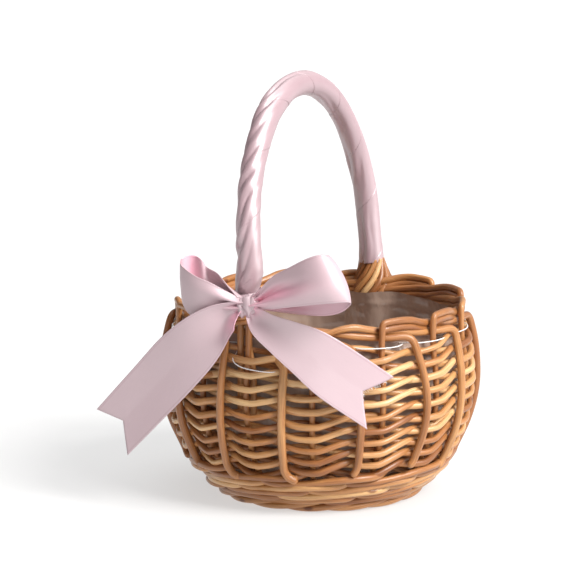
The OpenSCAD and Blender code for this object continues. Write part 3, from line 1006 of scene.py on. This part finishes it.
def ribbon(name, rows, node, deep=None, with_pieces=()):
    """A satin ribbon piece. deep(t, v) tells where painted light goes: the fuller pink of light through two
    layers and between them.
    """
    along, across = len(rows) - 1, len(rows[0]) - 1
    middle = [sum(row, Vector()) / len(row) for row in rows]
    total = sum((b - a).length for a, b in zip(middle, middle[1:]))
    piece = grid_piece(
        name, rows, SATIN_BOW, "satin_bow", (node,), thick=BOW_THICK,
        uv=lambda i, k: (RIBBON_W * MM * k / across, total * MM * i / along),
    )
    if deep:
        values = [deep(i / along, k / across) for i in range(along + 1) for k in range(across + 1)]
        piece.data.attributes.new("deep", "FLOAT", "POINT").data.foreach_set("value", values)
    return piece


def vectors(rows):
    return [Vector(row) for row in rows]


def around(rows):
    """Points given as angle round the bowl, height and radius."""
    return [polar(r, angle, z) for angle, z, r in rows]


def loop_right():
    """The large loop, from the knot out along the front and back along the far side."""
    def shape(t, v):
        from_knot = min(t, 1 - t)
        pleats = 2.6 * bell(from_knot, 0.10) * math.cos(2 * math.pi * (2.6 * v + 0.15))
        valley = -3.2 * bell(t - 0.15, 0.15) * bell(v - 0.40 - 0.3 * t, 0.15)
        ridge = 2.6 * bell(t - 0.24, 0.17) * bell(v - 0.76, 0.19)
        belly = 1.2 * bell(t - 0.34, 0.14) * math.sin(math.pi * v)
        bulge = 3.6 * bell(t - 0.48, 0.15) * math.sin(math.pi * v) ** 0.8
        return pleats + valley + ridge + belly + bulge + 0.25 * wobble(21, t * 9, v * 2)

    # Painted light: fuller pink in the front strand's fold, near the knot, and on the back strand's inner
    # face behind the front one
    def deep(t, v):
        fold = bell(t - 0.16, 0.16) * bell(v - 0.50 - 0.3 * t, 0.23)
        behind_front = smooth((t - 0.55) / 0.15) * smooth((v - 0.3) / 0.5)
        return 0.95 * fold + 0.25 * bell(t, 0.16) + 0.40 * behind_front

    ribbon(
        "satin_loop_right",
        ribbon_rows(
            vectors([
                (3.5, -103, 135.6), (9.5, -105, 141.2), (20, -107.6, 151.2), (31, -109.5, 157.4),
                (43, -110.5, 163.8), (50.0, -108.5, 166.2), (54.0, -103.6, 165.2), (51, -98.8, 161.8),
                (44, -96.4, 156.8), (34, -95.6, 150.4), (20, -96.2, 142.6), (5, -99, 135.4),
            ]),
            vectors([
                (4.5, -104, 130.4), (12, -106.5, 131.2), (23.5, -109.8, 133.0), (35, -112, 135.4),
                (47.5, -112.6, 137.8), (60, -110.4, 139.4), (67.4, -104.4, 139.2), (64.6, -100.4, 135.6),
                (57.2, -97.6, 130.9), (45.4, -96, 128.2), (28, -96.4, 128.1), (7, -99, 129.4),
            ]),
            shape, 220, 60,
        ),
        "bow_loop_right", deep=deep,
    )


def loop_left():
    """The small loop, turned so that its open end shows."""
    def shape(t, v):
        from_knot = min(t, 1 - t)
        pleats = 3.1 * bell(from_knot, 0.15) * math.cos(2 * math.pi * (2.3 * v + 0.4))
        belly = 1.6 * bell(t - 0.28, 0.16) * math.sin(math.pi * v)
        fold = 0.9 * bell(t - 0.2, 0.12) * math.sin(2 * math.pi * v)
        crease = 2.2 * bell(t - 0.70, 0.045) * (1 - v)
        return -(pleats + belly + fold) + crease + 0.25 * wobble(22, t * 9, v * 2)

    # Painted light: fuller pink in a band across the loop before its crease, and near the knot
    def deep(t, v):
        return 0.75 * bell(t - 0.62, 0.09) + 0.30 * bell(t, 0.16) * bell(v - 0.6, 0.3)

    ribbon(
        "satin_loop_left",
        ribbon_rows(
            vectors([
                (-1, -103, 135.4), (-5, -104.5, 136.6), (-13.2, -107.8, 141.4), (-20, -109.6, 145.0),
                (-28, -110, 147.8), (-35, -108.4, 150.8), (-41, -105, 153.4), (-42.2, -101, 155.8),
                (-38.4, -96.6, 157.4), (-33, -94.4, 155.8), (-28.6, -94, 150.6), (-20.6, -96.2, 148.2),
                (-13, -98.4, 143.4), (-4, -100, 136.2),
            ]),
            vectors([
                (-1, -103, 129.6), (-5, -104, 127.6), (-13, -105.4, 125.0), (-21, -106, 122.8),
                (-29, -106.4, 122.2), (-35.4, -106, 124.8), (-40.2, -104, 130.2), (-41.4, -101, 132.4),
                (-38, -97, 131.0), (-31, -95, 127.6), (-25, -95, 125.8), (-19, -96, 125.6),
                (-12, -98, 126.4), (-4, -100, 129.0),
            ]),
            shape, 200, 60,
        ),
        "bow_loop_left", deep=deep,
    )


def tail_left():
    """The long tail, which stands out over the left side."""
    notch = 0.05

    def shape(t, v):
        pleats = 2.0 * bell(t, 0.12) * math.cos(2 * math.pi * (2.2 * v + 0.3))
        curl = -9.5 * bell(t - 0.19, 0.14) * (max(0.0, v - 0.58) / 0.42) ** 2
        belly = 2.8 * bell(t - 0.28, 0.20) * math.sin(math.pi * v)
        wave = 1.1 * math.sin(math.pi * 2.2 * t + 0.6) * smooth(t / 0.4)
        return pleats + curl + belly + wave + 0.25 * wobble(23, t * 6, v * 1.5)

    # Painted light: fuller pink on the edge that curls back near the knot, and at the knot
    def deep(t, v):
        return 0.8 * bell(t - 0.17, 0.16) * smooth((v - 0.60) / 0.25) + 0.35 * bell(t, 0.10)

    ribbon(
        "satin_tail_left",
        ribbon_rows(
            vectors([
                (-1.5, -103.5, 134.6), (-9, -108.4, 133.6), (-20.5, -112, 130.4), (-35, -111.6, 122.6),
                (-52.4, -108.4, 108.9), (-73.2, -106, 87.4), (-99.1, -104, 60.2),
            ]),
            vectors([
                (-1.5, -104, 128.4), (-6.6, -105.4, 121.5), (-9.2, -106.2, 111.6), (-17, -107, 97.6),
                (-30.9, -107, 81.3), (-52.2, -106, 59.8), (-78.4, -104, 34.1),
            ]),
            shape, 150, 60, notch,
        ),
        "bow_tail_left", deep,
    )


def tail_right():
    """The short tail, which lies round the wall. Its cut end is frayed."""
    notch = 0.066

    def shape(t, v):
        pleats = 2.0 * bell(t, 0.11) * math.cos(2 * math.pi * (2.3 * v + 0.1))
        belly = 3.6 * bell(t - 0.30, 0.22) * math.sin(math.pi * v)
        wave = 0.8 * math.sin(math.pi * 1.7 * t + 2.2) * smooth(t / 0.4)
        lift = 1.6 * smooth((t - 0.7) / 0.3) * (v - 0.5)
        return -(pleats + belly + wave + lift) + 0.25 * wobble(24, t * 6, v * 1.5)

    # Painted light: fuller pink near the knot, strongest along the upper edge, and at the knot
    def deep(t, v):
        return 0.7 * bell(t - 0.09, 0.13) * (1 - smooth(v / 0.8)) + 0.3 * bell(t, 0.16)

    rows = ribbon_rows(
        around([
            (1.6, 133.6, 103.4), (5.4, 131.8, 106.4), (11, 128.2, 108), (18.9, 124.3, 108.4),
            (26, 119.4, 108.2), (35.4, 108.2, 107.6), (48.8, 90.4, 106.6),
        ]),
        around([
            (1.2, 127.4, 103.6), (2.0, 121.2, 106.6), (4.6, 115.0, 108), (9.8, 106.4, 108.2),
            (16.6, 94.8, 108), (25.2, 79.8, 107.4), (40.2, 60.0, 106.4),
        ]),
        shape, 150, 60, notch,
    )
    ribbon("satin_tail_right", rows, "bow_tail_right", deep, with_pieces=[fray(rows)])


def fray(rows):
    """A few loose threads at the right tail's cut end."""
    rng = random.Random(61)
    rods = Rods()
    across = len(rows[0]) - 1
    for _ in range(26):
        k = rng.randint(int(across * 0.12), int(across * 0.62))
        start, before = rows[-1][k], rows[-4][k]
        way = (start - before).normalized()
        points = [start - way * 0.4]
        for _ in range(5):
            way += Vector((rng.uniform(-0.4, 0.4), rng.uniform(-0.3, 0.2), rng.uniform(-0.4, 0.3)))
            points.append(points[-1] + way.normalized() * rng.uniform(0.25, 0.6))
        rods.add(points, 0.07, sides=5, ends=0.02)
    return rods.make("satin_frays", THREAD, "satin_bow")


def knot():
    """The crumpled knot: a short band of ribbon drawn tight round the bow's middle."""
    rows, steps, across = [], 120, 60
    half = 7.3
    for i in range(steps):
        turn = 2 * math.pi * i / steps
        row = []
        for k in range(across + 1):
            u = -1 + 2 * k / across
            waist = math.sqrt(max(0.0, 1 - abs(u) ** 2.6))
            x = half * u
            groove_turn = math.pi * (u * 1.35 + 0.30 * math.sin(turn + 0.6))
            grooves = math.sqrt(math.cos(groove_turn) ** 2 + 0.01) - 0.6
            crumple = 1.1 * wobble(31, x * 0.22 + math.cos(turn) * 0.9, math.sin(turn) * 1.1 + 2)
            crease = 1.2 * bell(wobble(33, x * 0.20 + math.cos(turn) * 0.8, math.sin(turn) * 0.9), 0.12)
            r = waist * (1.03 + 0.13 * (1.4 * grooves + crumple - crease))
            lift = 7.3 * r * math.sin(turn) + 0.16 * x
            row.append(KNOT + Vector((x + 0.5 * math.sin(turn), 5.2 * r * math.cos(turn), lift)))
        rows.append(row)
    grid_piece(
        "satin_knot", rows, SATIN_BOW, "satin_bow", ("bow_knot",), closed=True,
        uv=lambda i, k: (RIBBON_W * MM * k / across, 0.04 * i / steps),
    )


def band():
    """The ribbon that ties the bow to the handle, wound round the wrapping."""
    rows, steps, across = [], 120, 20
    height = 13.0
    for i in range(steps):
        turn = 2 * math.pi * i / steps
        row = []
        for k in range(across + 1):
            v = k / across
            z = 131.0 + height * (v - 0.5) * (0.9 + 0.15 * math.cos(turn))
            pleats = 0.35 * math.cos(2 * math.pi * 2.5 * v) - 0.5 * math.sin(math.pi * v)
            r = 9.35 + pleats + 0.3 * wobble(35, turn * 1.2, v * 3)
            row.append(leaned(r * math.sin(turn), -HOOP_HALF + r * math.cos(turn), z))
        rows.append(row)
    piece = grid_piece(
        "satin_band", rows, SATIN_BOW, "satin_bow", ("bow_band",), closed=True, thick=BOW_THICK,
        uv=lambda i, k: (RIBBON_W * MM * k / across, 0.06 * i / steps),
    )


# ---------------------------------------------------------------- liner and its sewing

def film():
    """One sheet of clear film pushed into the bowl, creased where it is gathered."""
    rows, steps = [], 300
    floor_z = 14.5
    bend_z = floor_z + 4
    neck_r = 80.2
    floor_r = wall(wall_s(bend_z))[0] + FILM_OFF
    heights = [bend_z + (FILM_TOP - bend_z) * i / 58 for i in range(59)]
    for i in range(steps):
        n = STAKES * i / steps
        angle = place_angle(n)
        a = math.radians(angle)
        far_foot = 5.0 * bell(n - HANDLE_PLACES[1], 0.8)
        round_foot = (5.6 + far_foot) * bell(from_handle(n), 0.42)
        row = []
        for k in range(10):
            f = k / 10
            z = floor_z + 0.8 * ring_noise(a, f * 4, 5.0) * f
            row.append(polar(max(floor_r * f, 0.2), angle, z))
        for z in heights:
            up = (z - floor_z) / (FILM_TOP - floor_z)
            fold = 0.9 * ring_noise(a, 7, z * 0.018 + 3) + 0.5 * ring_noise(a, 19, z * 0.05 + 9)
            r = min(wall(wall_s(z))[0] + FILM_OFF, neck_r + 0.5 * max(0.0, 103 - z))
            r -= round_foot * smooth((z - 55) / 16)
            top_z = z + up ** 8 * (1.6 * ring_noise(a, 3, 1.0) - 1.2)
            row.append(polar(r + fold * (0.35 + 0.65 * up), angle, top_z))
        rows.append(row)
    piece = grid_piece("film_liner", rows, FILM_WITH_PAINTED_SHADE, "clear_film", ("liner_film",), closed=True)


def thread():
    """The thread that sews the film to the top of the weave, out past each stake and in again."""
    sag = 0.6
    top_r = wall(S_TOP)[0] + WEAVE_MEAN
    out_r = top_r + 3.4
    # Under the bow it hangs lower, in a loose stitch across the handle's foot
    route = around([
        (-12, 103, 80.6), (-9.5, 99, 86), (-8.2, 97.6, 94), (-6.5, 95.4, 96.4), (-3.6, 93.4, 97.2),
        (0.4, 92.6, 97.4), (4.4, 91.9, 97.0), (8.0, 91.4, 95.0), (10.4, 92.0, 91), (11.4, 99, 80.6),
    ])
    for n in range(1, STAKES):
        route += [
            polar(80.6, place_angle(n - 0.47), 103.6),
            polar(top_r - 1.0, place_angle(n - 0.44), 104.9),
            polar(out_r - 1.0, place_angle(n - 0.36), 105.0 - sag * 0.5),
            polar(out_r, place_angle(n - 0.18), 105.1 - sag * 0.9),
            polar(out_r + 0.6, place_angle(n), 105.1 - sag),
            polar(out_r - 0.4, place_angle(n + 0.24), 104.9 - sag * 0.9),
            polar(top_r, place_angle(n + 0.40), 105.0),
            polar(80.6, place_angle(n + 0.45), 103.8),
            polar(79.6, place_angle(n + 0.49), 103.4),
        ]
    rods = Rods()
    rods.add(resample(chaikin(route, 2), 1.2), THREAD_R, sides=8, ends=0.1)
    rods.make("sewing_thread", THREAD, "thread", "stitch_thread")


# ---------------------------------------------------------------- camera, floor and light

def camera():
    """The photograph's angle: 25 degrees round from the bow, 11.5 above the horizon, with a long lens."""
    turn, tilt, distance = math.radians(25.0), math.radians(11.472), 1.9
    away = Vector((math.sin(turn) * math.cos(tilt), -math.cos(turn) * math.cos(tilt), math.sin(tilt)))
    right = Vector((math.cos(turn), math.sin(turn), 0.0))
    up = right.cross(-away)
    middle = Vector((0.0, 0.0, 0.1))
    data = bpy.data.cameras.new("camera")
    data.sensor_width = 36.0
    data.lens = 193.0
    data.clip_end = 60.0
    made = bpy.data.objects.new("camera", data)
    made.location = middle + away * distance
    # The photo is framed with the basket a little right of and below its middle
    aim = middle - right * 0.01833 + up * 0.02275
    made.rotation_mode = "QUATERNION"
    made.rotation_quaternion = (aim - made.location).to_track_quat("-Z", "Y")
    bpy.context.scene.collection.objects.link(made)
    bpy.context.scene.camera = made


def sun(name, towards, width, strength, colour):
    """A large far softbox: width is how wide it looks from the object, in degrees."""
    data = bpy.data.lights.new(name, "SUN")
    data.angle = math.radians(width)
    data.energy = strength
    data.color = colour
    made = bpy.data.objects.new(name, data)
    made.rotation_mode = "QUATERNION"
    made.rotation_quaternion = (-Vector(towards)).to_track_quat("-Z", "Y")
    bpy.context.scene.collection.objects.link(made)


def surroundings():
    """A pale room, darker on the left, where nothing reflects light back."""
    world = bpy.data.worlds.new("studio")
    world.use_nodes = True
    tree = world.node_tree
    background = tree.nodes["Background"]
    where = tree.nodes.new("ShaderNodeTexCoord")
    side = tree.nodes.new("ShaderNodeVectorMath")
    side.operation = "DOT_PRODUCT"
    side.inputs[1].default_value = (0.88, 0.30, 0.36)
    shade = tree.nodes.new("ShaderNodeMapRange")
    for entry, value in (("From Min", -0.8), ("From Max", 0.8), ("To Min", 0.0), ("To Max", 0.70)):
        shade.inputs[entry].default_value = value
    tree.links.new(where.outputs["Generated"], side.inputs[0])
    tree.links.new(side.outputs["Value"], shade.inputs["Value"])
    tree.links.new(shade.outputs["Result"], background.inputs["Strength"])
    background.inputs["Color"].default_value = (1.0, 1.0, 1.0, 1.0)
    bpy.context.scene.world = world


def studio():
    """A pale paper floor, a large key light on the right and a weak one overhead."""
    mesh = bpy.data.meshes.new("floor")
    half = 14.0
    corners = [(-half, -half, 0), (half, -half, 0), (half, half, 0), (-half, half, 0)]
    mesh.from_pydata(corners, [], [(0, 1, 2, 3)])
    mesh.materials.append(floor_material("studio_paper"))
    floor = bpy.data.objects.new("floor", mesh)
    floor.location.z = -0.0002
    bpy.context.scene.collection.objects.link(floor)
    surroundings()
    sun("key", (1.0, -0.24, 0.82), 28.0, 4.6, (1.0, 0.985, 0.965))
    sun("top", (0.25, 0.10, 1.5), 50.0, 0.8, (1.0, 1.0, 1.0))
    bpy.context.scene.view_settings.view_transform = "Standard"
    bpy.context.scene.view_settings.look = "None"


camera()
studio()
weave()
stakes()
wales()
foot()
base()
handle_rods()
wrapping()
collars()
loop_right()
loop_left()
tail_left()
tail_right()
knot()
band()
film()
thread()
